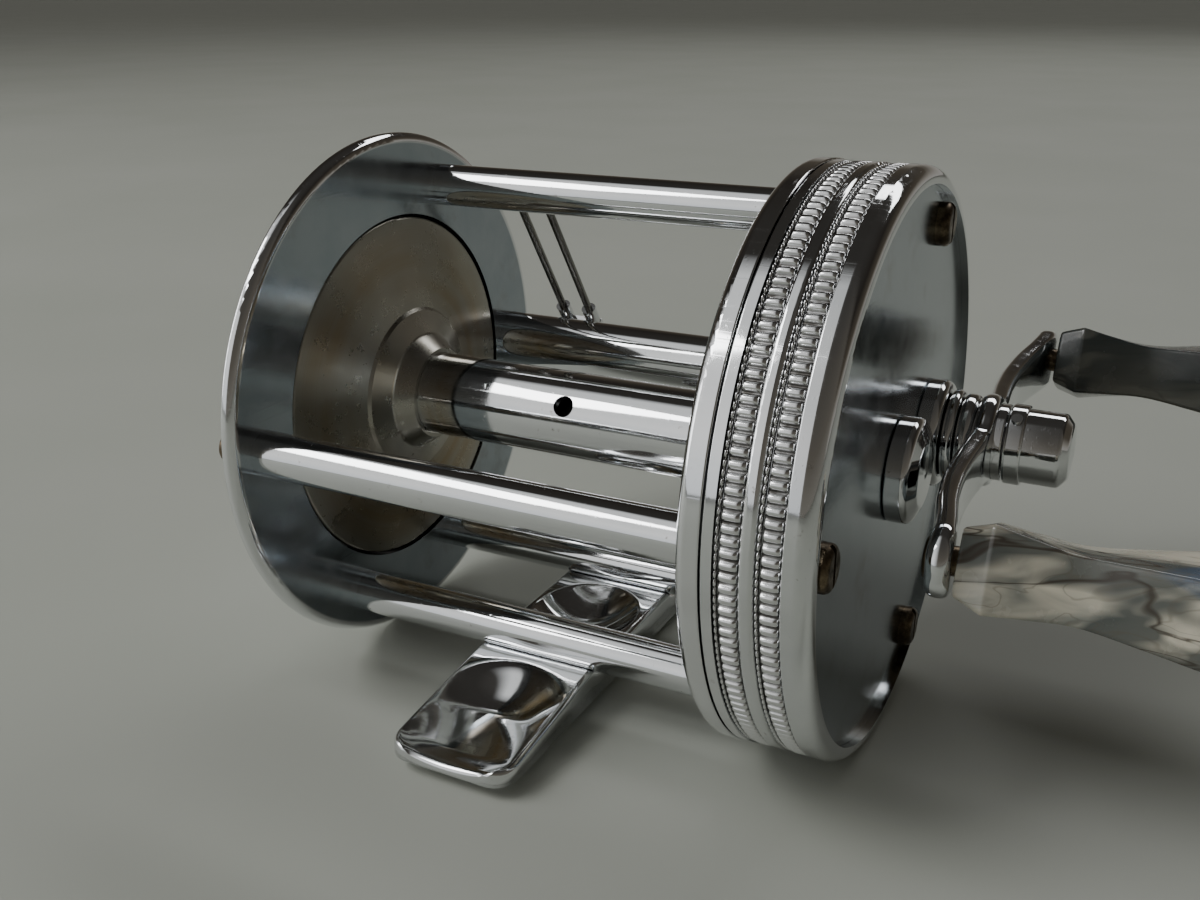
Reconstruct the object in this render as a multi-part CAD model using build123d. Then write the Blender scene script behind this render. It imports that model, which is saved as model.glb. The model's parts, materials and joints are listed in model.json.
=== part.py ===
from build123d import *
import math
import os

# Small trolling reel with a level wind, built as separate pieces in millimetres.
# X runs along the spool's axis, with the crank on the +X side. +Y is the side where the line leaves,
# under the level wind, and +Z is up. The origin is the centre of the foot's underside.
# "Tail" is the plain side at -X, and "head" is the side of the gears and the crank at +X.

os.makedirs("parts", exist_ok=True)

# ---- Driving dimensions ----
GAP = 42.55            # between the inner faces of the two frame rings
AXIS_Z = 25.0          # height of the spool's axis above the foot's underside
RING_R = 26.3          # outside radius of both sides of the reel
OPENING_R = 18.2       # opening in each ring, which the spool's flange sits in
TAIL_RING_W = 2.8      # at the body, inside the rim
TAIL_RIM_W = 1.4
TAIL_RIM_FOOT_R = 24.3  # where the thin rim meets the thicker body
HEAD_RING_W = 2.05

PILLAR_R = 2.15
PILLAR_CIRCLE_R = 22.0
PILLARS = {"top_pillar": 66, "rear_pillar": 180, "rear_foot_pillar": 246, "front_foot_pillar": 294}
FACE_SCREW_PILLARS = ("top_pillar", "rear_pillar", "front_foot_pillar")

SPOOL_SHAFT_R = 1.5
ARBOR_R = 4.27
ARBOR_WALL = 0.9
FLANGE_R = 17.9
LINE_HOLE_R = 1.05
LINE_HOLE_X = -0.2
LINE_HOLE_ANGLE = 150

GEAR_MODULE = 0.4
PRESSURE_ANGLE = math.radians(25)
ADDENDUM = 0.9 * GEAR_MODULE
DEDENDUM = 1.15 * GEAR_MODULE
BACKLASH = 0.09
DRIVE_TEETH = 43
SPOOL_TEETH = 11
WORM_TEETH = 13
CRANK_Y = GEAR_MODULE * (DRIVE_TEETH + SPOOL_TEETH) / 2
WORM_Y = CRANK_Y + GEAR_MODULE * (DRIVE_TEETH + WORM_TEETH) / 2

TUBE_R = 3.1
TUBE_BORE_R = 2.3
TUBE_SEAT = 0.9        # how deep the tube sits in the tail ring
WORM_R = 1.9
WORM_JOURNAL_R = 1.2
SLOT_HALF = 1.1
GUIDE_X = -13.4        # where the line guide stands along its travel
WIRE_R = 0.43
WIRE_SPACING = 3.4

FACE_R = 24.65         # satin plate on the crank side
CUP_R = 26.2
CUP_WALL_R = 25.35     # inside of the cup
CRANK_SHAFT_R = 2.0
ARM_HALF = 23.9        # from the crank's axis to each knob's axis
ARM_ANGLE = 4          # how far the arm stands from level at rest
ARM_THICK = 1.95
ARM_END_R = 3.1
KNOB_LENGTH = 27.0
SPINDLE_R = 1.2

FOOT_WIDTH = 12.7
FOOT_LENGTH = 54.0
SADDLE_TOP = 3.3

RUNNING = 0.06         # radial clearance of a shaft in its bush
FIXED = 0.02           # clearance between pieces that are fixed together
SCREW_R = 1.0
SCREW_HEAD_R = 1.95

# ---- Stations along X ----
TAIL = -GAP / 2        # inner face of the tail ring
HEAD = GAP / 2         # inner face of the head ring
GEAR_START = HEAD + 4.2
GEAR_WIDTH = 2.0
FACE = HEAD + 10.0     # outer surface of the face plate
LIP_END = HEAD + 10.7  # end of the cup's rounded lip, which the face plate lies inside
FACE_THICK = 0.8
BRIDGE_START = HEAD + HEAD_RING_W
BRIDGE_THICK = 0.8
COVER_START = TAIL - TAIL_RING_W
COVER_END = COVER_START - 4.6
ARM_HUB = FACE + 4.85  # underside of the arm's hub
ARM_RISE = 1.4         # how far the arm's ends stand out beyond its hub
ARM_DIP = 0.35         # how far the arm dips between its hub and its ends
KNOB_START = ARM_HUB + ARM_RISE + ARM_THICK + 0.4


# ---- Helpers ----
def on_circle(radius, angle):
    """Y and Z, measured from the spool's axis, of a point at an angle from +Y towards +Z."""
    return radius * math.cos(math.radians(angle)), radius * math.sin(math.radians(angle))


def rod(radius, x0, x1, y=0.0, z=0.0):
    """Round bar along X, with y and z measured from the spool's axis."""
    return Pos((x0 + x1) / 2, y, AXIS_Z + z) * Rot(0, 90, 0) * Cylinder(radius, abs(x1 - x0))


def pipe(outer, inner, x0, x1, y=0.0, z=0.0):
    return rod(outer, x0, x1, y, z) - rod(inner, x0, x1, y, z)


def block(x0, x1, y0, y1, z0, z1):
    """Box between two corners, in the reel's own frame."""
    return Pos((x0 + x1) / 2, (y0 + y1) / 2, (z0 + z1) / 2) * Box(abs(x1 - x0), abs(y1 - y0), abs(z1 - z0))


def turned(points, y=0.0, z=0.0, rounds=None):
    """Turned piece: a closed outline of (x, radius) points, with some corners rounded."""
    face = make_face(Polyline(*points, close=True))
    for corner, radius in (rounds or {}).items():
        vertex = face.vertices().sort_by_distance(Vector(*points[corner]))[0]
        face = fillet(vertex, radius)
    return Pos(0, y, AXIS_Z + z) * revolve(face, Axis.X)


def gear(teeth, x0, x1, y, bore):
    """Spur gear with involute flanks and one tooth pointing at +Y."""
    pitch_r = GEAR_MODULE * teeth / 2
    base_r = pitch_r * math.cos(PRESSURE_ANGLE)
    root_r = pitch_r - DEDENDUM
    tip_r = pitch_r + ADDENDUM

    def half_tooth(radius):
        roll = math.acos(base_r / max(radius, base_r))
        involute = math.tan(roll) - roll
        pitch_involute = math.tan(PRESSURE_ANGLE) - PRESSURE_ANGLE
        return math.pi / (2 * teeth) - BACKLASH / (2 * pitch_r) + pitch_involute - involute

    flank = [max(root_r, base_r), (pitch_r + base_r) / 2, pitch_r, (pitch_r + tip_r) / 2, tip_r]
    side = [(root_r, half_tooth(flank[0]))] + [(r, half_tooth(r)) for r in flank if r > root_r + 1e-6]
    points = []
    for tooth in range(teeth):
        middle = 2 * math.pi * tooth / teeth
        for radius, half in side:
            points.append((radius * math.cos(middle - half), radius * math.sin(middle - half)))
        for radius, half in reversed(side):
            points.append((radius * math.cos(middle + half), radius * math.sin(middle + half)))
    outline = make_face(Polyline(*points, close=True)) - Circle(bore)
    plane = Plane(origin=(x0, y, AXIS_Z), x_dir=(0, 1, 0), z_dir=(1, 0, 0))
    return extrude(plane * outline, x1 - x0)


def screw(x_head, x_tip, direction, y, z, head_r=SCREW_HEAD_R, head_height=1.0):
    """Round-headed slotted screw along X. Direction is +1 where the head faces +X."""
    top = x_head + direction * head_height
    outline = [(x_tip, 0), (x_tip, SCREW_R), (x_head, SCREW_R), (x_head, head_r), (top, head_r), (top, 0)]
    body = turned(outline, y, z, rounds={4: 0.55 * head_height})
    slot = block(top - direction * 0.4, top + direction, y - 0.25, y + 0.25,
                 AXIS_Z + z - 2 * head_r, AXIS_Z + z + 2 * head_r)
    return body - slot


def save(name, *shapes):
    """Write one node, with every piece of it as its own solid."""
    solids = [solid for shape in shapes for solid in shape.solids()]
    whole = solids[0] if len(solids) == 1 else Compound(children=solids)
    whole.label = name
    export_step(whole, f"parts/{name}.step")


# ---- Frame: two rings, four pillars and the level-wind tube ----
def frame_rings():
    rim_end = TAIL - TAIL_RIM_W
    tail = turned(
        [(TAIL, OPENING_R), (TAIL, RING_R), (rim_end, RING_R), (rim_end, TAIL_RIM_FOOT_R),
         (COVER_START, TAIL_RIM_FOOT_R - 0.5), (COVER_START, OPENING_R)],
        rounds={1: 0.85, 2: 0.4})
    head_end = HEAD + HEAD_RING_W
    head = turned(
        [(HEAD, OPENING_R), (HEAD, RING_R), (head_end, RING_R), (head_end, OPENING_R)],
        rounds={1: 0.9, 2: 0.12})
    for angle in PILLARS.values():
        y, z = on_circle(PILLAR_CIRCLE_R, angle)
        tail -= rod(SCREW_R + 0.05, COVER_START - 1, TAIL + 1, y, z)
        head -= rod(SCREW_R + 0.05, HEAD - 1, head_end + 1, y, z)
    tail -= rod(TUBE_R + FIXED, TAIL - TUBE_SEAT - 0.1, TAIL + 1, WORM_Y)
    head -= rod(TUBE_R + FIXED, HEAD - 1, head_end + 1, WORM_Y)
    save("tail_ring", tail)
    save("head_ring", head)


def pillars():
    for name, angle in PILLARS.items():
        y, z = on_circle(PILLAR_CIRCLE_R, angle)
        pillar = rod(PILLAR_R, TAIL, HEAD, y, z)
        for end, inwards in ((TAIL, 1), (HEAD, -1)):
            pillar -= rod(SCREW_R + FIXED, end - inwards, end + inwards * 6.0, y, z)
        if "foot" in name:
            pillar -= Pos(0, y, AXIS_Z + z - PILLAR_R) * Cylinder(SCREW_R + FIXED, 5.0)
        save(name, pillar)


def level_wind_tube():
    tube = pipe(TUBE_R, TUBE_BORE_R, TAIL - TUBE_SEAT, HEAD + 2.0, WORM_Y)
    slot = block(TAIL + 2.5, HEAD - 2.5, WORM_Y + 1.0, WORM_Y + 4.0, AXIS_Z - SLOT_HALF, AXIS_Z + SLOT_HALF)
    save("level_wind_tube", tube - slot)
    bushes = {"worm_bush_tail": (TAIL - TUBE_SEAT + 0.05, TAIL + 0.6),
              "worm_bush_head": (HEAD - 0.6, HEAD + 2.0)}
    for name, (x0, x1) in bushes.items():
        save(name, pipe(TUBE_BORE_R - FIXED, WORM_JOURNAL_R + RUNNING, x0, x1, WORM_Y))


# ---- Foot ----
def foot():
    half_length = FOOT_LENGTH / 2
    tip_height = 1.0
    saddle_half = 11.2
    side = make_face(Polyline(
        (-half_length, 0), (half_length, 0), (half_length, tip_height), (saddle_half, SADDLE_TOP),
        (-saddle_half, SADDLE_TOP), (-half_length, tip_height), close=True))
    plane = Plane(origin=(-FOOT_WIDTH / 2, 0, 0), x_dir=(0, 1, 0), z_dir=(1, 0, 0))
    body = extrude(plane * side, FOOT_WIDTH)
    tip_bulge = 0.7
    half_width = FOOT_WIDTH / 2
    corner = (half_width, half_length - tip_bulge)
    plan = make_face([
        Line((-half_width, -corner[1]), (-half_width, corner[1])),
        ThreePointArc((-half_width, corner[1]), (0, half_length), corner),
        Line(corner, (half_width, -corner[1])),
        ThreePointArc((half_width, -corner[1]), (0, -half_length), (-half_width, -corner[1]))])
    plan = fillet(plan.vertices(), 2.2)
    body &= extrude(plan, 10)
    lower = [e for e in body.edges().filter_by(Axis.Y) if e.center().Z < 0.01]
    body = fillet(lower, 1.3)
    # An oval dish lies between the two pillars.
    dish_r, dish_half_width, dish_straight = 8.0, 5.5, 0.9
    dish_z = SADDLE_TOP + math.sqrt(dish_r ** 2 - dish_half_width ** 2)
    body -= Pos(0, 0, dish_z) * Rot(90, 0, 0) * Cylinder(dish_r, 2 * dish_straight)
    for sign in (1, -1):
        body -= Pos(0, sign * dish_straight, dish_z) * Sphere(dish_r)
    # Each blade is a dished trough that starts in an arch beside the pillar and is open at the tip.
    trough_r = 9.0
    floor_height = 0.75
    for sign in (1, -1):
        start = sign * 16.3
        body -= Pos(0, start, floor_height + trough_r) * Sphere(trough_r)
        body -= Pos(0, start + sign * 15, floor_height + trough_r) * Rot(90, 0, 0) * Cylinder(trough_r, 30)
    for name in ("rear_foot_pillar", "front_foot_pillar"):
        y, z = on_circle(PILLAR_CIRCLE_R, PILLARS[name])
        body -= rod(PILLAR_R + FIXED, TAIL, HEAD, y, z)
        body -= Pos(0, y, 0) * Cylinder(SCREW_R + 0.05, 12)
        body -= Pos(0, y, 0.75) * Cone(1.95, SCREW_R, 1.1)
        body -= Pos(0, y, 0) * Cylinder(1.95, 0.45)
    save("foot", body)


def foot_screws():
    screws = []
    for name in ("rear_foot_pillar", "front_foot_pillar"):
        y, _ = on_circle(PILLAR_CIRCLE_R, PILLARS[name])
        outline = [(0, 0.28), (1.85, 0.28), (SCREW_R - FIXED, 1.1), (SCREW_R - FIXED, 4.8), (0, 4.8)]
        body = revolve(Plane.XZ * make_face(Polyline(*outline, close=True)), Axis.Z)
        slot = block(-2.2, 2.2, -0.25, 0.25, 0, 0.65)
        screws.append(Pos(0, y, 0) * (body - slot))
    save("foot_screws", *screws)


# ---- Tail side ----
CLICK_Z = 12.0         # the click button's height above the spool's axis, when it is off
CLICK_TRAVEL = 3.0


def tail_side():
    inner = COVER_START
    outer = COVER_END
    cover = turned(
        [(inner, 23.6), (inner - 0.8, 23.6), (inner - 0.8, 19.4), (outer, 16.8), (outer, 3.02),
         (outer + 0.8, 3.02), (outer + 0.8, 16.2), (inner, 18.3)],
        rounds={1: 0.35, 2: 0.9, 3: 1.6, 6: 1.0})
    for angle in PILLARS.values():
        y, z = on_circle(PILLAR_CIRCLE_R, angle)
        cover -= rod(SCREW_R + 0.05, inner - 3, inner + 1, y, z)
    click_top, click_bottom = AXIS_Z + CLICK_Z + 1.0, AXIS_Z + CLICK_Z - CLICK_TRAVEL - 1.0
    cover -= block(outer - 1, outer + 2, -0.95, 0.95, click_bottom, click_top)
    save("tail_cover", cover)

    screws = []
    for angle in PILLARS.values():
        y, z = on_circle(PILLAR_CIRCLE_R, angle)
        screws.append(screw(inner - 0.8, TAIL + 5.5, -1, y, z, head_r=1.6, head_height=0.9))
    save("tail_screws", *screws)

    save("tail_bush", turned(
        [(outer + 1.6, SPOOL_SHAFT_R + RUNNING), (outer + 1.6, 4.0), (outer + 0.8, 4.0), (outer + 0.8, 3.0),
         (outer - 1.6, 3.0), (outer - 1.6, SPOOL_SHAFT_R + RUNNING)]))
    save("tail_bearing_cap", turned(
        [(outer, 3.04), (outer, 5.0), (outer - 3.2, 5.0), (outer - 3.2, 0), (outer - 2.1, 0),
         (outer - 2.1, 3.04)],
        rounds={1: 0.2, 2: 1.1}))


def click():
    """Click button on the tail cover, with the pawl that it carries and the leaf spring beside it."""
    outer = COVER_END
    pawl_end = outer + 2.15
    z = AXIS_Z + CLICK_Z
    button = turned(
        [(outer - 0.1, 0), (outer - 0.1, 2.2), (outer - 1.9, 2.2), (outer - 1.9, 0)],
        z=CLICK_Z, rounds={2: 0.6})
    stem = rod(0.85, outer - 0.1, pawl_end, 0, CLICK_Z)
    save("click_button", button + stem)
    tongue = block(pawl_end, pawl_end + 0.85, -0.8, 0.8, z - 4.5, z + 1.6)
    save("click_pawl", tongue)
    leaf = block(pawl_end, pawl_end + 0.8, 1.1, 1.4, z - 6.0, z + 3.0)
    anchor = block(outer + 0.8, pawl_end + 0.8, 1.4, 3.2, z + 0.6, z + 2.2)
    save("click_spring", leaf + anchor)
    teeth = 16
    points = []
    for tooth in range(teeth):
        for radius, turn in ((4.4, 0.0), (3.5, 0.5)):
            angle = 2 * math.pi * (tooth + turn) / teeth
            points.append((radius * math.cos(angle), radius * math.sin(angle)))
    outline = make_face(Polyline(*points, close=True)) - Circle(SPOOL_SHAFT_R + FIXED)
    plane = Plane(origin=(pawl_end, 0, AXIS_Z), x_dir=(0, 1, 0), z_dir=(1, 0, 0))
    save("click_ratchet", extrude(plane * outline, 0.85))


# ---- Spool ----
def spool_flange(inner_face, into_gap):
    """Dished flange. into_gap is +1 on the tail side and -1 on the head side."""
    def x(depth):
        return inner_face + into_gap * depth
    return turned(
        [(x(-0.15), FLANGE_R), (x(1.45), 8.7), (x(1.75), 8.4), (x(2.55), 6.0), (x(2.85), 5.75), (x(4.3), 4.7),
         (x(4.3), ARBOR_R + FIXED), (x(0.0), ARBOR_R + FIXED), (x(0.0), SPOOL_SHAFT_R + FIXED),
         (x(-0.7), SPOOL_SHAFT_R + FIXED), (x(-0.7), 8.0), (x(-0.95), FLANGE_R)],
        rounds={0: 0.25, 3: 0.6, 11: 0.25})


def spool():
    save("spool_flange_tail", spool_flange(TAIL, 1))
    save("spool_flange_head", spool_flange(HEAD, -1))
    arbor = pipe(ARBOR_R, ARBOR_R - ARBOR_WALL, TAIL, HEAD)
    hole_y, hole_z = on_circle(ARBOR_R, LINE_HOLE_ANGLE)
    hole = Rot(LINE_HOLE_ANGLE - 90, 0, 0) * Cylinder(LINE_HOLE_R, 4)
    arbor -= Pos(LINE_HOLE_X, hole_y, AXIS_Z + hole_z) * hole
    save("spool_arbor", arbor)
    save("spool_shaft", rod(SPOOL_SHAFT_R, COVER_END - 1.3, FACE + 1.3))
    pinion_start, pinion_end = GEAR_START - 0.1, GEAR_START + GEAR_WIDTH + 0.1
    save("spool_pinion", gear(SPOOL_TEETH, pinion_start, pinion_end, 0, SPOOL_SHAFT_R + FIXED))


# ---- Head side: bridge plate, cup, face plate, bushes and caps ----
def bridge_plate():
    plate = rod(CUP_WALL_R - 0.1, BRIDGE_START, BRIDGE_START + BRIDGE_THICK)
    plate -= rod(3.0, BRIDGE_START - 1, BRIDGE_START + 2)
    plate -= rod(1.45 + RUNNING, BRIDGE_START - 1, BRIDGE_START + 2, CRANK_Y)
    plate -= rod(1.7, BRIDGE_START - 1, BRIDGE_START + 2, WORM_Y)
    for angle in PILLARS.values():
        y, z = on_circle(PILLAR_CIRCLE_R, angle)
        plate -= rod(SCREW_R + 0.05, BRIDGE_START - 1, BRIDGE_START + 2, y, z)
    save("bridge_plate", plate)
    y, z = on_circle(PILLAR_CIRCLE_R, PILLARS["rear_foot_pillar"])
    save("bridge_screw", screw(BRIDGE_START + BRIDGE_THICK, HEAD - 5.5, 1, y, z, head_r=1.8, head_height=0.9))


def head_cup():
    """Turned cup with two recessed bands for the knurling and a rounded outer edge."""
    start = HEAD + HEAD_RING_W + 0.12
    band_floor = 25.75
    ledge = FACE - FACE_THICK
    cup = turned(
        [(start, CUP_WALL_R), (start, CUP_R), (HEAD + 3.1, CUP_R), (HEAD + 3.1, band_floor),
         (HEAD + 5.1, band_floor), (HEAD + 5.1, CUP_R), (HEAD + 6.35, CUP_R), (HEAD + 6.35, band_floor),
         (HEAD + 8.4, band_floor), (HEAD + 8.4, CUP_R), (LIP_END, CUP_R), (LIP_END, FACE_R + FIXED),
         (ledge, FACE_R + FIXED), (ledge, 19.6), (ledge - 0.8, 19.6), (ledge - 0.8, CUP_WALL_R)],
        rounds={1: 0.15, 5: 0.4, 6: 0.4, 9: 0.15, 10: 1.35})
    for name in FACE_SCREW_PILLARS:
        y, z = on_circle(PILLAR_CIRCLE_R, PILLARS[name])
        cup -= rod(SCREW_R + 0.05, ledge - 2, ledge + 1, y, z)
    save("head_cup", cup)


def face_plate():
    plate = rod(FACE_R, FACE - FACE_THICK, FACE)
    plate -= rod(3.0 + FIXED, FACE - 2, FACE + 1)
    plate -= rod(3.4 + FIXED, FACE - 2, FACE + 1, CRANK_Y)
    screws = []
    for name in FACE_SCREW_PILLARS:
        y, z = on_circle(PILLAR_CIRCLE_R, PILLARS[name])
        plate -= rod(SCREW_R + 0.05, FACE - 2, FACE + 1, y, z)
        screws.append(screw(FACE, HEAD - 5.5, 1, y, z, head_height=1.15))
    save("face_plate", plate)
    save("face_screws", *screws)


def head_bearings():
    spool_bore = SPOOL_SHAFT_R + RUNNING
    save("head_bush", turned(
        [(FACE - 2.4, spool_bore), (FACE - 2.4, 4.0), (FACE - FACE_THICK, 4.0), (FACE - FACE_THICK, 3.0),
         (FACE + 1.5, 3.0), (FACE + 1.5, spool_bore)]))
    save("spool_tension_cap", turned(
        [(FACE + 0.06, 3.0 + RUNNING), (FACE + 0.06, 4.75), (FACE + 1.9, 4.75), (FACE + 2.6, 3.1),
         (FACE + 2.65, 0), (FACE + 1.7, 0), (FACE + 1.7, 3.0 + RUNNING)],
        rounds={1: 0.15, 2: 0.7, 3: 1.0}))
    crank_bore = CRANK_SHAFT_R + RUNNING
    save("crank_bushing", turned(
        [(FACE - 2.0, crank_bore), (FACE - 2.0, 3.4), (FACE, 3.4), (FACE, 5.1), (FACE + 2.1, 5.1),
         (FACE + 2.1, crank_bore)],
        CRANK_Y, rounds={3: 0.2, 4: 0.8}))


# ---- Crank ----
def crank_core():
    hub_top = ARM_HUB + ARM_THICK
    nut = hub_top + 0.95
    shaft_end = nut + 4.2
    save("crank_shaft", turned(
        [(HEAD + 2.1, 0), (HEAD + 2.1, 1.45), (HEAD + 3.0, 1.45), (HEAD + 3.0, CRANK_SHAFT_R),
         (shaft_end, CRANK_SHAFT_R), (shaft_end, 0)], CRANK_Y))
    wheel = gear(DRIVE_TEETH, GEAR_START, GEAR_START + GEAR_WIDTH, CRANK_Y, CRANK_SHAFT_R + FIXED)
    for turn in range(5):
        y, z = on_circle(5.5, 72 * turn + 36)
        wheel -= rod(1.5, GEAR_START - 1, GEAR_START + GEAR_WIDTH + 1, CRANK_Y + y, z)
    hub_end = GEAR_START + GEAR_WIDTH + 1.7
    wheel += pipe(3.4, CRANK_SHAFT_R + FIXED, GEAR_START + GEAR_WIDTH, hub_end, CRANK_Y)
    save("drive_gear", wheel)
    bore = CRANK_SHAFT_R + FIXED
    save("crank_washer", turned(
        [(FACE + 2.2, bore), (FACE + 2.2, 4.35), (FACE + 3.3, 4.35), (FACE + 3.3, bore)],
        CRANK_Y, rounds={1: 0.45, 2: 0.45}))
    save("arm_spacer", turned(
        [(FACE + 3.35, bore), (FACE + 3.35, 4.15), (ARM_HUB, 4.15), (ARM_HUB, bore)],
        CRANK_Y, rounds={1: 0.6, 2: 0.6}))
    save("arm_collar", turned(
        [(hub_top, bore), (hub_top, 3.6), (nut - 0.12, 3.6), (nut - 0.12, bore)], CRANK_Y, rounds={2: 0.2}))
    save("crank_nut", turned(
        [(nut, bore), (nut, 3.75), (nut + 1.6, 3.75), (nut + 1.6, 3.45), (nut + 4.8, 3.45), (nut + 5.6, 2.5),
         (nut + 5.8, 0), (nut + 4.3, 0), (nut + 4.3, bore)],
        CRANK_Y, rounds={1: 0.25, 2: 0.25, 4: 0.5, 5: 0.9}) - lock_screw(nut + 0.8, FIXED))
    save("nut_lock_screw", lock_screw(nut + 0.8, 0))


def lock_screw(x, extra):
    """Small grub screw in the nut's flange."""
    angle = 125
    y, z = on_circle(3.55, angle)
    return Pos(x, CRANK_Y + y, AXIS_Z + z) * Rot(angle - 90, 0, 0) * Cylinder(0.5 + extra, 1.1 + 2 * extra)


def knob_axis(side):
    """Y and Z, from the spool's axis, of a knob's axis. side is +1 for the front knob and -1 for the rear."""
    y, z = on_circle(side * ARM_HALF, ARM_ANGLE)
    return CRANK_Y + y, z


# The arm's narrow places, as distances from the crank's axis and half-widths
ARM_WAIST, ARM_WAIST_R = 11.0, 2.5
ARM_NECK, ARM_NECK_R = 20.5, 2.85
ARM_HUB_R = 4.1
# The arm's side view: flat at the hub as far as ARM_FLAT, lowest at ARM_LOW, and rising from ARM_CLIMB
ARM_FLAT, ARM_LOW, ARM_CLIMB = 4.5, 10.0, 15.5


def arm_plan():
    """Outline of the arm, drawn along +Y from the crank's axis, as a prism that is deeper than the arm."""
    plan = Circle(ARM_HUB_R)
    for side in (1, -1):
        waist = Pos(side * ARM_WAIST, 0) * Circle(ARM_WAIST_R)
        neck = Pos(side * ARM_NECK, 0) * Circle(ARM_NECK_R)
        eye = Pos(side * ARM_HALF, 0) * Circle(ARM_END_R)
        plan += make_hull(Circle(2.8).edges() + waist.edges())
        plan += make_hull(waist.edges() + neck.edges())
        plan += make_hull(neck.edges() + eye.edges())
    plane = Plane(origin=(ARM_HUB - 1, 0, 0), x_dir=(0, 1, 0), z_dir=(1, 0, 0))
    return extrude(plane * plan, 8)


def arm_band():
    """Half of the arm's side view, drawn out wider than the arm: level, dipping, then rising to the end."""
    def surface(offset):
        low, high = ARM_HUB + offset, ARM_HUB + ARM_RISE + offset
        points = ((ARM_FLAT, low), (ARM_LOW, low - ARM_DIP), (ARM_CLIMB, low + 0.3), (ARM_NECK, high))
        return low, high, Spline(*points, tangents=((1, 0), (1, 0)))

    low, high, lower_curve = surface(0)
    top_low, top_high, upper_curve = surface(ARM_THICK)
    end = ARM_HALF + 5
    half = make_face([
        Line((0, low), (ARM_FLAT, low)), lower_curve, Line((ARM_NECK, high), (end, high)),
        Line((end, high), (end, top_high)), Line((end, top_high), (ARM_NECK, top_high)), upper_curve,
        Line((ARM_FLAT, top_low), (0, top_low)), Line((0, top_low), (0, low))])
    half_depth = 6
    plane = Plane(origin=(0, 0, -half_depth), x_dir=(0, 1, 0), z_dir=(0, 0, -1))
    return extrude(plane * half, -2 * half_depth)


def crank_arm():
    band = arm_band()
    arm = arm_plan() & (band + mirror(band, Plane.XZ))
    arm -= Pos(ARM_HUB, 0, 0) * Rot(0, 90, 0) * Cylinder(CRANK_SHAFT_R + FIXED, 8)
    for side in (1, -1):
        arm -= Pos(ARM_HUB + ARM_RISE, side * ARM_HALF, 0) * Rot(0, 90, 0) * Cylinder(SPINDLE_R + FIXED, 8)
    save("crank_arm", Pos(0, CRANK_Y, AXIS_Z) * Rot(ARM_ANGLE, 0, 0) * arm)


# Knob half-sizes across its flats at distances along its length
KNOB_SECTIONS = ((0.0, 2.55), (2.5, 3.55), (8.5, 2.75), (19.0, 3.75), (24.5, 3.6), (KNOB_LENGTH, 2.3))
KNOB_TURN = 21         # how far the knob's corners stand from the axes at rest


def knobs():
    for name, side in (("front_knob", 1), ("rear_knob", -1)):
        y, z = knob_axis(side)
        sections = []
        for distance, half in KNOB_SECTIONS:
            plane = Plane(origin=(KNOB_START + distance, y, AXIS_Z + z), x_dir=(0, 1, 0), z_dir=(1, 0, 0))
            square = RectangleRounded(2 * half, 2 * half, 0.42 * half)
            sections.append(plane * (Rot(0, 0, KNOB_TURN) * square))
        knob = loft(sections, ruled=True)
        knob -= rod(SPINDLE_R + RUNNING, KNOB_START - 1, KNOB_START + KNOB_LENGTH + 1, y, z)
        save(name, knob)
        end = KNOB_START + KNOB_LENGTH + 0.15
        rivet = ARM_HUB + ARM_RISE
        save(name + "_spindle", turned(
            [(rivet - 0.4, 0), (rivet - 0.4, 1.8), (rivet, 1.8), (rivet, SPINDLE_R), (end, SPINDLE_R),
             (end, 2.1), (end + 0.9, 2.1), (end + 0.9, 0)],
            y, z, rounds={1: 0.3, 6: 0.6}))


# ---- Level wind ----
def worm():
    start, end = TAIL - TUBE_SEAT + 0.1, GEAR_START + GEAR_WIDTH + 0.4
    save("worm_shaft", turned(
        [(start, 0), (start, WORM_JOURNAL_R), (TAIL + 0.75, WORM_JOURNAL_R), (TAIL + 0.75, WORM_R),
         (HEAD - 0.75, WORM_R), (HEAD - 0.75, WORM_JOURNAL_R), (end, WORM_JOURNAL_R), (end, 0)], WORM_Y))
    save("worm_pinion", gear(WORM_TEETH, GEAR_START, GEAR_START + GEAR_WIDTH, WORM_Y, WORM_JOURNAL_R + FIXED))


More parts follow.
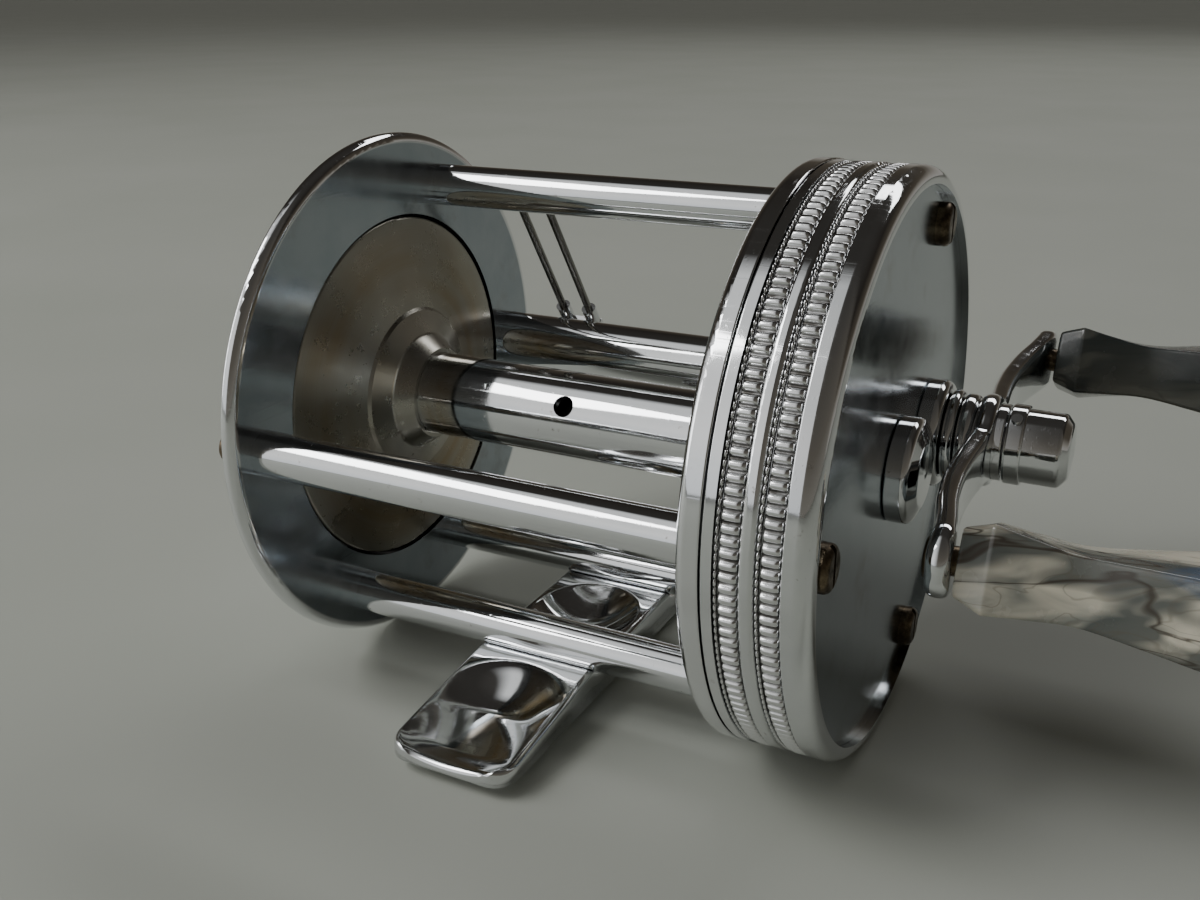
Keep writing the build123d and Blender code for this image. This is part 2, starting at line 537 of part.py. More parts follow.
def line_guide():
    """Carriage on the front of the tube, its pawl, and the wire loop that leads the line."""
    top_y, top_z = on_circle(PILLAR_CIRCLE_R, PILLARS["top_pillar"])
    reach = math.hypot(top_y - WORM_Y, top_z)
    along = Vector(0, (top_y - WORM_Y) / reach, top_z / reach)
    outwards = Vector(0, along.Z, -along.Y)
    start = Vector(GUIDE_X, WORM_Y, AXIS_Z) + outwards * 3.75
    lean = math.degrees(math.atan2(PILLAR_R + WIRE_R + 0.35 - 3.75, reach))
    along = along.rotate(Axis.X, -lean)

    half = WIRE_SPACING / 2
    leg = reach - 2.8
    sideways = Vector(1, 0, 0)
    foot_points = [start + sideways * (s * half) for s in (-1, 1)]
    tops = [p + along * leg for p in foot_points]
    path = (Line(foot_points[0], tops[0])
            + ThreePointArc(tops[0], start + along * (leg + half), tops[1])
            + Line(tops[1], foot_points[1]))
    wire = sweep(Plane(origin=foot_points[0], z_dir=along) * Circle(WIRE_R), path=path)
    save("line_guide_wire", wire)

    carriage_half = 2.6
    shell = pipe(4.25, TUBE_R + 0.1, GUIDE_X - carriage_half, GUIDE_X + carriage_half, WORM_Y)
    wedge_points = [(0, 0)] + [on_circle(8, angle) for angle in (-52, -10, 40)]
    plane = Plane(origin=(GUIDE_X - 5, WORM_Y, AXIS_Z), x_dir=(0, 1, 0), z_dir=(1, 0, 0))
    carriage = shell & extrude(plane * make_face(Polyline(*wedge_points, close=True)), 10)
    ferrules = [Plane(origin=p + along * 1.3, z_dir=along) * Cylinder(0.85, 2.8) for p in foot_points]
    sockets = [Plane(origin=p, z_dir=along) * Cylinder(WIRE_R + FIXED, 9) for p in foot_points]
    around_tube = rod(TUBE_R + 0.1, GUIDE_X - 5, GUIDE_X + 5, WORM_Y)
    carriage = (carriage + ferrules) - sockets - around_tube
    pawl_hole = Pos(GUIDE_X, WORM_Y + 3.5, AXIS_Z) * Rot(90, 0, 0) * Cylinder(0.9 + FIXED, 4)
    save("line_guide_carriage", carriage - pawl_hole)
    pawl_root, pawl_top = WORM_Y + WORM_R + 0.12, WORM_Y + 4.25
    save("guide_pawl", Pos(GUIDE_X, (pawl_root + pawl_top) / 2, AXIS_Z) * Rot(90, 0, 0)
         * Cylinder(0.9, pawl_top - pawl_root))
    save("pawl_cap", Pos(GUIDE_X, pawl_top + 0.3, AXIS_Z) * Rot(90, 0, 0) * Cylinder(1.7, 0.6))


frame_rings()
pillars()
level_wind_tube()
foot()
foot_screws()
tail_side()
click()
spool()
bridge_plate()
head_cup()
face_plate()
head_bearings()
crank_core()
crank_arm()
knobs()
worm()
line_guide()
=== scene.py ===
import json
import math

import bpy
from mathutils import Matrix, Vector


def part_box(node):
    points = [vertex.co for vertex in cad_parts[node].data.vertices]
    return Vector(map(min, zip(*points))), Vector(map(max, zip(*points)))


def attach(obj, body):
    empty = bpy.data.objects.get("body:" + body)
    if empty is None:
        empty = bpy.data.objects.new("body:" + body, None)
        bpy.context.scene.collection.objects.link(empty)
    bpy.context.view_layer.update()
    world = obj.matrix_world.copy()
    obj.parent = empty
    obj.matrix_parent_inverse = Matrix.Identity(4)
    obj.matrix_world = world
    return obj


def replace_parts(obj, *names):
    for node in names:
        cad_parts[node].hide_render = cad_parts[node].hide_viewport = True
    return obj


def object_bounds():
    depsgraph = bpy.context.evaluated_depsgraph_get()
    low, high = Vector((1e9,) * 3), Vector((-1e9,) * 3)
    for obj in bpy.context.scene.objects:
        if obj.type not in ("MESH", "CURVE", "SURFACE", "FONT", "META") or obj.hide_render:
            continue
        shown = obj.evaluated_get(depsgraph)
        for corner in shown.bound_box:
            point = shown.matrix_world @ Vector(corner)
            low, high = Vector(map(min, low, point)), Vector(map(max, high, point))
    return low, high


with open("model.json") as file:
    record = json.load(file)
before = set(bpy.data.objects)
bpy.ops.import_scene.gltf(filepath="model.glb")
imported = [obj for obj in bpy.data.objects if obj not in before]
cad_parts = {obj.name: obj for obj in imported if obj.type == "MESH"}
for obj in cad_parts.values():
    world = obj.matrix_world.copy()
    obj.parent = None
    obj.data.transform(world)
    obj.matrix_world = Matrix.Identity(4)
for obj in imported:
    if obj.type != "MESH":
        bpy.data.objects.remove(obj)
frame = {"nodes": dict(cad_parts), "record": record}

# Looks of a small chromed trolling reel. Everything is in metres and in the reel's own frame: X along the
# spool's axis towards the crank, +Y towards the level wind, +Z up from the foot.
cad_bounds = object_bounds()

MM = 0.001


# ---- Places and sizes, read from the frame ----
def centre(node):
    low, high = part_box(node)
    return (low + high) / 2


def size(node):
    low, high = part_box(node)
    return high - low


AXIS = centre("spool_shaft")           # a point on the spool's axis
CRANK_AXIS = centre("crank_washer")
WORM_AXIS = centre("level_wind_tube")
TAIL_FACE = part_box("tail_ring")[1].x   # inner face of the tail ring
HEAD_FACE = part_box("head_ring")[0].x   # inner face of the head ring
SIDE_RADIUS = size("tail_ring").z / 2
PLATE_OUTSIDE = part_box("face_plate")[1].x
BAND_FLOOR = SIDE_RADIUS - 0.52 * MM   # bottom of the gaps in the knurling
BAND_TOP = SIDE_RADIUS - 0.14 * MM


# ---- Building materials ----
class Look:
    """A procedural material, whose inputs are given as values or as other nodes' outputs."""

    def __init__(self, name, **shader_inputs):
        self.material = bpy.data.materials.new(name)
        self.material.use_nodes = True
        self.tree = self.material.node_tree
        self.shader = self.tree.nodes["Principled BSDF"]
        self.set(self.shader, shader_inputs)
        self._place = None

    def set(self, node, inputs):
        for key, value in inputs.items():
            socket = node.inputs[key.replace("_", " ") if isinstance(key, str) else key]
            if isinstance(value, bpy.types.NodeSocket):
                self.tree.links.new(value, socket)
            else:
                socket.default_value = value

    def add(self, kind, inputs=None, **settings):
        node = self.tree.nodes.new("ShaderNode" + kind)
        for key, value in settings.items():
            setattr(node, key, value)
        self.set(node, inputs or {})
        return node

    def math(self, operation, *values, clamp=False):
        inputs = dict(enumerate(values))
        return self.add("Math", inputs, operation=operation, use_clamp=clamp).outputs[0]

    def place(self):
        """The point's place in the reel's frame."""
        if self._place is None:
            self._place = self.add("TexCoord").outputs["Object"]
        return self._place

    def moved(self, location=(0, 0, 0), rotation=(0, 0, 0), scale=(1, 1, 1)):
        inputs = {"Vector": self.place(), "Location": location, "Rotation": rotation, "Scale": scale}
        return self.add("Mapping", inputs).outputs[0]

    def noise(self, vector, scale, detail=3.0, roughness=0.5, distortion=0.0):
        inputs = {"Vector": vector, "Scale": scale, "Detail": detail, "Roughness": roughness,
                  "Distortion": distortion}
        return self.add("TexNoise", inputs).outputs["Fac"]

    def ramp(self, value, *stops, interpolation="LINEAR"):
        """Stops are (position, grey or colour)."""
        node = self.add("ValToRGB", {"Fac": value})
        ramp = node.color_ramp
        ramp.interpolation = interpolation
        while len(ramp.elements) < len(stops):
            ramp.elements.new(1.0)
        for element, (position, colour) in zip(ramp.elements, stops):
            element.position = position
            element.color = (*colour, 1) if isinstance(colour, tuple) else (colour, colour, colour, 1)
        return node.outputs["Color"]

    def mix(self, factor, first, second):
        node = self.add("Mix", data_type="RGBA", blend_type="MIX")
        self.set(node, {0: factor, 6: self._colour(first), 7: self._colour(second)})
        return node.outputs[2]

    def _colour(self, value):
        return value if isinstance(value, bpy.types.NodeSocket) else (*value, 1)

    def scale_to(self, value, low, high, new_low, new_high):
        inputs = {"Value": value, "From Min": low, "From Max": high, "To Min": new_low, "To Max": new_high}
        return self.add("MapRange", inputs, clamp=True).outputs[0]

    def bump(self, height, strength, distance, normal=None):
        inputs = {"Height": height, "Strength": strength, "Distance": distance}
        if normal is not None:
            inputs["Normal"] = normal
        return self.add("Bump", inputs).outputs[0]

    def radius_from(self, axis_point):
        """Distance from a line along X through a point."""
        parts = self.add("SeparateXYZ", {"Vector": self.place()}).outputs
        across = self.math("SUBTRACT", parts["Y"], axis_point.y)
        up = self.math("SUBTRACT", parts["Z"], axis_point.z)
        squares = self.math("ADD", self.math("MULTIPLY", across, across), self.math("MULTIPLY", up, up))
        return self.math("SQRT", squares)

    def along_x(self):
        return self.add("SeparateXYZ", {"Vector": self.place()}).outputs["X"]


# ---- Materials ----
def scratched(look, amount, base_roughness, spread):
    """Roughness and normal of a plated surface with fine scratches, and the smears that both follow."""
    smears = look.noise(look.moved(scale=(0.6, 1, 1)), 260, detail=5, roughness=0.6)
    hairs_one = look.noise(look.moved(rotation=(0.3, 0.2, 0.5), scale=(40, 2500, 900)), 1.6, detail=2)
    hairs_two = look.noise(look.moved(rotation=(1.1, 0.5, -0.8), scale=(1800, 60, 1500)), 1.4, detail=2)
    hairs = look.math("MAXIMUM", look.scale_to(hairs_one, 0.60, 0.72, 0, 1),
                      look.scale_to(hairs_two, 0.62, 0.74, 0, 1))
    rough = look.scale_to(smears, 0.35, 0.75, base_roughness, base_roughness + spread)
    rough = look.math("ADD", rough, look.math("MULTIPLY", hairs, 0.10 * amount))
    waves = look.noise(look.place(), 90, detail=1)
    normal = look.bump(waves, 0.05, 0.0004)
    return rough, look.bump(hairs, 0.10 * amount, 0.00002, normal), smears


def polished_chrome():
    look = Look("polished_chrome", Metallic=1.0)
    rough, normal, smears = scratched(look, 0.6, 0.035, 0.09)
    specks = look.scale_to(look.noise(look.place(), 900, detail=4, roughness=0.7), 0.66, 0.74, 0, 1)
    colour = look.ramp(smears, (0.3, (0.74, 0.755, 0.77)), (0.75, (0.80, 0.81, 0.815)))
    colour = look.mix(look.math("MULTIPLY", specks, 0.45), colour, (0.20, 0.15, 0.10))
    rough = look.math("ADD", rough, look.math("MULTIPLY", specks, 0.25))
    look.set(look.shader, {"Base Color": colour, "Roughness": rough, "Normal": normal})
    return look.material


def knurled_chrome():
    """Polished plate with painted shade darkening the gaps of the knurling."""
    look = Look("knurled_chrome", Metallic=1.0)
    rough, normal, _ = scratched(look, 0.4, 0.06, 0.10)
    # Painted shade: the colour goes near black towards the floor of the knurl gaps, in patches, and is rougher
    # there.
    grime_and_gap_shade = look.scale_to(look.radius_from(AXIS), BAND_FLOOR + 0.05 * MM, BAND_FLOOR + 0.24 * MM, 0.92, 0)
    patchy = look.scale_to(look.noise(look.place(), 800, detail=3), 0.3, 0.6, 0.55, 1.0)
    grime_and_gap_shade = look.math("MULTIPLY", grime_and_gap_shade, patchy)
    colour = look.mix(grime_and_gap_shade, (0.78, 0.785, 0.79), (0.045, 0.038, 0.030))
    rough = look.math("ADD", rough, look.math("MULTIPLY", grime_and_gap_shade, 0.35))
    look.set(look.shader, {"Base Color": colour, "Roughness": rough, "Normal": normal})
    return look.material


def satin_plate(name, axis_point, plate_x, disc_radius):
    """Plate that is satin on its flat face, turned about an axis, and polished on its rim."""
    look = Look(name, Metallic=1.0)
    rough, normal, smears = scratched(look, 1.0, 0.04, 0.08)
    radius = look.radius_from(axis_point)
    from_face = look.math("ABSOLUTE", look.math("SUBTRACT", look.along_x(), plate_x))
    flat = look.scale_to(from_face, 0.00004, 0.00012, 1, 0)
    inside = look.scale_to(radius, disc_radius - 0.0001, disc_radius + 0.0001, 1, 0)
    satin = look.math("MULTIPLY", flat, inside)
    turning = look.noise(look.add("CombineXYZ", {"X": radius}).outputs[0], 9000, detail=3, roughness=0.7)
    satin_rough = look.scale_to(smears, 0.3, 0.8, 0.12, 0.22)
    rough = look.mix(satin, rough, satin_rough)
    colour = look.ramp(smears, (0.3, (0.34, 0.385, 0.42)), (0.8, (0.43, 0.47, 0.50)))
    colour = look.mix(satin, (0.78, 0.79, 0.80), colour)
    stains = look.noise(look.moved(location=(0.2, 0.1, 0)), 170, detail=6, roughness=0.65)
    stain = look.math("MULTIPLY", look.scale_to(stains, 0.56, 0.70, 0, 0.55), satin)
    colour = look.mix(stain, colour, (0.27, 0.27, 0.27))
    normal = look.bump(look.math("MULTIPLY", turning, satin), 0.12, 0.00002, normal)
    look.set(look.shader, {"Base Color": colour, "Roughness": rough, "Normal": normal})
    return look.material


def spool_plate():
    """Dull plated flange: fine turned rings, with soft brown staining drawn round between hub and rim."""
    look = Look("spool_plate", Metallic=1.0)
    radius = look.radius_from(AXIS)
    turning = look.noise(look.add("CombineXYZ", {"X": radius}).outputs[0], 6000, detail=4, roughness=0.75)
    broad = look.noise(look.add("CombineXYZ", {"X": radius}).outputs[0], 520, detail=2)
    clouds = look.noise(look.place(), 48, detail=3, roughness=0.45, distortion=0.3)
    fine = look.noise(look.place(), 420, detail=5, roughness=0.7)
    colour = look.ramp(clouds, (0.30, (0.29, 0.275, 0.225)), (0.70, (0.41, 0.395, 0.345)))
    colour = look.mix(look.scale_to(turning, 0.35, 0.65, 0, 0.35), colour, (0.42, 0.41, 0.38))
    middle = look.math("MULTIPLY", look.scale_to(radius, 0.0065, 0.0100, 0, 1),
                       look.scale_to(radius, 0.0145, 0.0176, 1, 0))
    stain = look.math("MULTIPLY", look.scale_to(clouds, 0.42, 0.62, 1, 0), middle)
    stain = look.math("MULTIPLY", stain, look.scale_to(broad, 0.35, 0.6, 0.35, 0.8))
    colour = look.mix(look.math("MULTIPLY", stain, 0.9), colour, (0.27, 0.185, 0.075))
    rough = look.scale_to(fine, 0.3, 0.7, 0.24, 0.36)
    normal = look.bump(turning, 0.22, 0.00003)
    look.set(look.shader, {"Base Color": colour, "Roughness": rough, "Normal": normal})
    return look.material


def tarnished_steel():
    look = Look("tarnished_steel", Metallic=1.0)
    grime_and_gap_shade = look.noise(look.place(), 700, detail=6, roughness=0.7)
    colour = look.ramp(grime_and_gap_shade, (0.40, (0.06, 0.045, 0.03)), (0.62, (0.20, 0.155, 0.10)),
                       (0.80, (0.52, 0.46, 0.36)))
    rough = look.scale_to(grime_and_gap_shade, 0.35, 0.7, 0.5, 0.22)
    normal = look.bump(grime_and_gap_shade, 0.4, 0.00004)
    look.set(look.shader, {"Base Color": colour, "Roughness": rough, "Normal": normal})
    return look.material


def turned_metal(name, light, dark, base_roughness):
    look = Look(name, Metallic=1.0)
    grain = look.noise(look.moved(scale=(30, 1, 1)), 160, detail=4)
    colour = look.ramp(grain, (0.35, dark), (0.7, light))
    rough = look.scale_to(grain, 0.3, 0.7, base_roughness, base_roughness + 0.15)
    normal = look.bump(grain, 0.1, 0.00003)
    look.set(look.shader, {"Base Color": colour, "Roughness": rough, "Normal": normal})
    return look.material


def marbled_plastic(name, shift, smokiness, painted_shade):
    """Cream plastic with smoky grey and blue swirls and brown veins, drawn out along the grip.

    The last argument darkens the whole marbling towards near black, from 0 to 1: a painted shadow over a grip
    that lies out of the light.
    """
    look = Look(name, Coat_Weight=0.35, Coat_Roughness=0.06, IOR=1.5, Subsurface_Weight=0.05,
                Subsurface_Scale=0.002)
    drawn = look.moved(location=shift, rotation=(0.0, 0.12, 0.30), scale=(0.34, 1.0, 1.0))
    warp = look.add("TexNoise", {"Vector": drawn, "Scale": 110.0, "Detail": 2.0}).outputs["Color"]
    pushed = look.add("MixRGB", {"Fac": 0.010, "Color1": drawn, "Color2": warp}, blend_type="ADD").outputs[0]
    swirl = look.noise(pushed, 230, detail=4, roughness=0.55, distortion=0.7)
    flow = look.noise(pushed, 150, detail=3, roughness=0.5, distortion=0.8)
    strands = look.noise(pushed, 420, detail=2, roughness=0.5, distortion=0.6)
    vein = look.scale_to(look.math("ABSOLUTE", look.math("SUBTRACT", flow, 0.5)), 0.002, 0.014, 1, 0)
    thread = look.scale_to(look.math("ABSOLUTE", look.math("SUBTRACT", strands, 0.52)), 0.004, 0.022, 1, 0)
    cream = look.ramp(swirl, (0.32, (0.24, 0.25, 0.22)), (0.43, (0.50, 0.48, 0.40)),
                      (0.54, (0.68, 0.64, 0.52)), (0.72, (0.78, 0.745, 0.62)))
    haze = look.noise(pushed, 165, detail=3, distortion=0.5)
    smoke = look.scale_to(haze, 0.50 - smokiness, 0.57 - smokiness, 0, 1)
    colour = look.mix(look.math("MULTIPLY", smoke, 0.88), cream, (0.060, 0.072, 0.070))
    pools = look.scale_to(look.noise(drawn, 120, detail=3, distortion=1.0), 0.60, 0.66, 0, 1)
    colour = look.mix(look.math("MULTIPLY", pools, 0.8), colour, (0.055, 0.095, 0.16))
    colour = look.mix(look.math("MULTIPLY", thread, 0.35), colour, (0.12, 0.105, 0.08))
    colour = look.mix(look.math("MULTIPLY", vein, 0.8), colour, (0.045, 0.032, 0.022))
    # Painted shadow: the whole grip is mixed towards near black by the last argument.
    colour = look.mix(painted_shade, colour, (0.016, 0.021, 0.020))
    rough = look.scale_to(look.noise(look.place(), 500, detail=4), 0.3, 0.7, 0.18, 0.30)
    look.set(look.shader, {"Base Color": colour, "Roughness": rough,
                           "Normal": look.bump(swirl, 0.05, 0.0001)})
    return look.material


def floor_paint():
    look = Look("pale_floor", Roughness=0.6)
    cloud = look.noise(look.place(), 14, detail=3)
    colour = look.ramp(cloud, (0.3, (0.405, 0.425, 0.375)), (0.7, (0.435, 0.45, 0.405)))
    look.set(look.shader, {"Base Color": colour})
    return look.material


CHROME = polished_chrome()
KNURL = knurled_chrome()
SATIN_RING = satin_plate("satin_tail_ring", AXIS, TAIL_FACE, SIDE_RADIUS - 0.00095)
SATIN_HEAD_RING = satin_plate("satin_head_ring", AXIS, HEAD_FACE, SIDE_RADIUS - 0.0012)
SATIN_FACE = satin_plate("satin_face", CRANK_AXIS, PLATE_OUTSIDE, SIDE_RADIUS * 2)
SPOOL_PLATE = spool_plate()
TARNISH = tarnished_steel()
STEEL = turned_metal("turned_steel", (0.60, 0.60, 0.61), (0.38, 0.38, 0.39), 0.25)
# The front grip's marbling carries painted shadow: it is the same plastic as the rear grip, darkened almost
# black because that grip lies out of the light.
SHADED_GRIP_FRONT = marbled_plastic("marbled_grip_front_shaded", (0.013, 0.004, 0.002), 0.04, 0.86)
GRIP_REAR = marbled_plastic("marbled_grip_rear", (0.031, 0.0, 0.009), 0.0, 0.0)
WIRE = turned_metal("dark_wire", (0.34, 0.33, 0.31), (0.17, 0.165, 0.155), 0.16)
BRASS = turned_metal("turned_brass", (0.72, 0.56, 0.30), (0.48, 0.35, 0.16), 0.28)

FINISHES = {
    "polished_chrome": CHROME, "satin_chrome": CHROME, "spool_nickel": SPOOL_PLATE, "screw_steel": TARNISH,
    "steel": STEEL, "brass": BRASS, "knob_plastic": CHROME,
}
SPECIAL = {"tail_ring": SATIN_RING, "head_ring": SATIN_HEAD_RING, "face_plate": SATIN_FACE,
           "line_guide_wire": WIRE, "nut_lock_screw": CHROME}


def paint(piece, material):
    piece.data.materials.clear()
    piece.data.materials.append(material)


for part in frame["record"]["subparts"]:
    paint(frame["nodes"][part["node"]], SPECIAL.get(part["node"], FINISHES[part["material_slot"]]))


# ---- Building meshes ----
def mesh_piece(name, points, faces, body, material, smooth=True):
    mesh = bpy.data.meshes.new(name)
    mesh.from_pydata([tuple(p) for p in points], [], faces)
    mesh.update()
    for polygon in mesh.polygons:
        polygon.use_smooth = smooth
    piece = bpy.data.objects.new(name, mesh)
    bpy.context.scene.collection.objects.link(piece)
    paint(piece, material)
    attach(piece, body)
    return piece


def ring_strip(rows, columns, close_rows=False, flip=False):
    """Quads of a grid whose columns close on themselves; rows close too where it is a full tube."""
    faces = []
    for row in range(rows if close_rows else rows - 1):
        below = (row + 1) % rows
        for column in range(columns):
            beside = (column + 1) % columns
            quad = [row * columns + column, row * columns + beside, below * columns + beside,
                    below * columns + column]
            faces.append(quad[::-1] if flip else quad)
    return faces


def capped_strip(rows, columns):
    """Quads of a tube of closed rows, with a face over each end."""
    first, last = list(range(columns)), [(rows - 1) * columns + column for column in range(columns)]
    return ring_strip(rows, columns) + [first[::-1], last]


def smooth_step(value):
    value = min(max(value, 0.0), 1.0)
    return value * value * (3 - 2 * value)


def turned_relief(name, x_low, x_high, rows, columns, inner_radius, radius_at, body, material, axis):
    """Closed ring about a line along X, whose outside is radius_at(part of the width, angle)."""
    points = []
    for row in range(rows):
        part = row / (rows - 1)
        for column in range(columns):
            angle = 2 * math.pi * column / columns
            radius = radius_at(part, angle)
            points.append((x_low + (x_high - x_low) * part, axis.y + radius * math.cos(angle),
                           axis.z + radius * math.sin(angle)))
    for x in (x_high, x_low):
        for column in range(columns):
            angle = 2 * math.pi * column / columns
            points.append((x, axis.y + inner_radius * math.cos(angle),
                           axis.z + inner_radius * math.sin(angle)))
    return mesh_piece(name, points, ring_strip(rows + 2, columns, close_rows=True), body, material)


# ---- Knurled bands on the head cup ----
KNURL_COUNT = 170
BEAD_COUNT = 230


def knurled_band(name, x_low, x_high):
    """Band of raised bars with rounded ends, like grains of rice side by side."""
    samples = 10

    def radius_at(part, angle):
        across = 2 * part - 1
        along = 2 * ((angle * KNURL_COUNT / (2 * math.pi)) % 1.0) - 1
        end = max(0.0, 1 - abs(across) ** 5)
        side = max(0.0, 1 - abs(along / 0.74) ** 2.6)
        return BAND_FLOOR + (BAND_TOP - BAND_FLOOR) * math.sqrt(end * side)

    turned_relief(name, x_low, x_high, 13, KNURL_COUNT * samples, BAND_FLOOR - 0.02 * MM, radius_at, "frame",
                  KNURL, AXIS)


def beaded_line(name, x_low, x_high):
    samples = 8

    def radius_at(part, angle):
        across = 2 * part - 1
        along = 2 * ((angle * BEAD_COUNT / (2 * math.pi)) % 1.0) - 1
        height = max(0.0, 1 - across * across - 0.9 * along * along)
        return BAND_FLOOR + (BAND_TOP - BAND_FLOOR - 0.08 * MM) * math.sqrt(height)

    turned_relief(name, x_low, x_high, 6, BEAD_COUNT * samples, BAND_FLOOR - 0.02 * MM, radius_at, "frame",
                  KNURL, AXIS)


def head_bands():
    inner_start = HEAD_FACE + 3.1 * MM
    outer_start = HEAD_FACE + 6.35 * MM
    for name, start in (("inner", inner_start), ("outer", outer_start)):
        beaded_line("bead_line_" + name, start + 0.02 * MM, start + 0.36 * MM)
        knurled_band("knurled_band_" + name, start + 0.40 * MM, start + 1.98 * MM)


# ---- Crank arm ----
def curve_through(points, place):
    """Smooth curve through (place, value) points."""
    last = len(points) - 1
    spot = next((i for i in range(last) if place <= points[i + 1][0]), last - 1)
    (x0, y0), (x1, y1) = points[spot], points[spot + 1]
    part = (place - x0) / (x1 - x0)

    def slope(index):
        before, after = points[max(index - 1, 0)], points[min(index + 1, last)]
        return (after[1] - before[1]) / (after[0] - before[0]) * (x1 - x0)

    squared, cubed = part ** 2, part ** 3
    return ((2 * cubed - 3 * squared + 1) * y0 + (cubed - 2 * squared + part) * slope(spot)
            + (3 * squared - 2 * cubed) * y1 + (cubed - squared) * slope(spot + 1))


def crank_arm():
    """Stamped blade with rounded edges, from the round hub out to the eye under each grip."""
    low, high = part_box("crank_arm")
    hub_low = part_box("arm_spacer")[1].x
    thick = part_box("arm_collar")[0].x - hub_low
    rise = high.x - hub_low - thick
    dip = hub_low - low.x
    spindle = centre("front_knob_spindle")
    out = Vector((0, spindle.y - CRANK_AXIS.y, spindle.z - CRANK_AXIS.z))
    reach = out.length
    out.normalize()
    across = Vector((0, -out.z, out.y))
    hub_radius, eye_radius, blend = 4.1 * MM, 3.1 * MM, 4.0
    flat_share, edge_roundness = 5, 0.75
    length = reach + eye_radius
    height_curve = ((0, 0), (4.5 * MM, -0.1 * dip), (9 * MM, -dip), (13 * MM, -dip), (17.5 * MM, 0.1 * rise),
                    (21.5 * MM, 0.66 * rise), (reach, 0.92 * rise), (length, rise))
    blade_curve = ((0, 3.0 * MM), (7 * MM, 2.65 * MM), (13 * MM, 2.55 * MM), (19 * MM, 2.8 * MM),
                   (reach, eye_radius))
    rows, columns = 241, 32

    def half_width(distance):
        if distance > reach:
            return math.sqrt(max(eye_radius ** 2 - (distance - reach) ** 2, 0))
        hub = math.sqrt(max(hub_radius ** 2 - distance ** 2, 0))
        blade = curve_through(blade_curve, distance)
        return (hub ** blend + blade ** blend) ** (1 / blend)

    points = []
    for row in range(rows):
        along = -math.cos(math.pi * row / (rows - 1)) * length
        distance = abs(along)
        from_tip = length - distance
        half = half_width(distance)
        half_thick = thick / 2
        if from_tip < half_thick:
            half_thick = math.sqrt(max(half_thick ** 2 - (half_thick - from_tip) ** 2, 0))
        middle = hub_low + thick / 2 + curve_through(height_curve, distance)
        edge = min(half, half_thick)
        for column in range(columns):
            angle = 2 * math.pi * column / columns
            side, up = math.cos(angle), math.sin(angle)
            # Each half of the round is moved out to its own edge, which leaves the broad faces flat.
            outwards = math.copysign(half - edge, side) * min(1, abs(side) * flat_share)
            side_place = edge * side + outwards
            place = CRANK_AXIS + out * along + across * side_place
            points.append((middle + half_thick * math.copysign(abs(up) ** edge_roundness, up), place.y, place.z))
    faces = ring_strip(rows, columns)
    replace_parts(mesh_piece("crank_arm_blade", points, faces, "crank", CHROME), "crank_arm")


# ---- Grips ----
GRIP_SHOULDER = 2.4    # mm from a grip's arm end to its shoulder
GRIP_PROFILE = ((GRIP_SHOULDER, 3.6), (5.2, 3.15), (8.8, 2.75), (13.5, 3.1), (19, 3.6), (23.5, 3.5),
                (25.8, 3.1), (27, 2.2))
GRIP_START_HALF = 2.75
GRIP_TWIST = 1.3       # degrees of turn for each millimetre along a grip
GRIP_TURN = 23         # degrees, at the shoulder
CORNER_REACH = 0.34    # how much further out a corner is than a flat
CORNER_CREASE = 2.3    # a higher power draws the corner in to a sharper crease


def grip(name, node, body, material):
    """Four-sided waisted grip with creased corners, a shoulder by the arm and a slight twist."""
    low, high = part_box(node)
    axis = (low + high) / 2
    length = high.x - low.x
    rows, columns, bore = 120, 96, 1.25 * MM
    start_round, round_steps = 0.35, 6

    def half_at(along):
        if along < GRIP_SHOULDER:
            rounding = start_round - math.sqrt(max(start_round ** 2 - max(start_round - along, 0) ** 2, 0))
            return GRIP_START_HALF + (GRIP_PROFILE[0][1] - GRIP_START_HALF) * along / GRIP_SHOULDER - rounding
        return curve_through(GRIP_PROFILE, along)

    stations = [start_round * part / round_steps for part in range(round_steps)]
    stations += [start_round + (length / MM - start_round) * part / (rows - 1) for part in range(rows)]
    sections = [(0.0, bore)] + [(along, half_at(along) * MM) for along in stations] + [(length / MM, bore)]
    points = []
    for along, half in sections:
        squareness = smooth_step((half - bore) / (0.9 * MM))
        for column in range(columns):
            angle = 2 * math.pi * column / columns
            from_flat = abs((angle % (math.pi / 2)) / (math.pi / 4) - 1)
            stretch = 1 + squareness * CORNER_REACH * from_flat ** CORNER_CREASE
            turn = angle + math.radians(GRIP_TURN + GRIP_TWIST * (along - GRIP_SHOULDER))
            points.append((low.x + along * MM, axis.y + half * stretch * math.cos(turn),
                           axis.z + half * stretch * math.sin(turn)))
    faces = capped_strip(len(sections), columns)
    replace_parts(mesh_piece(name, points, faces, body, material), node)


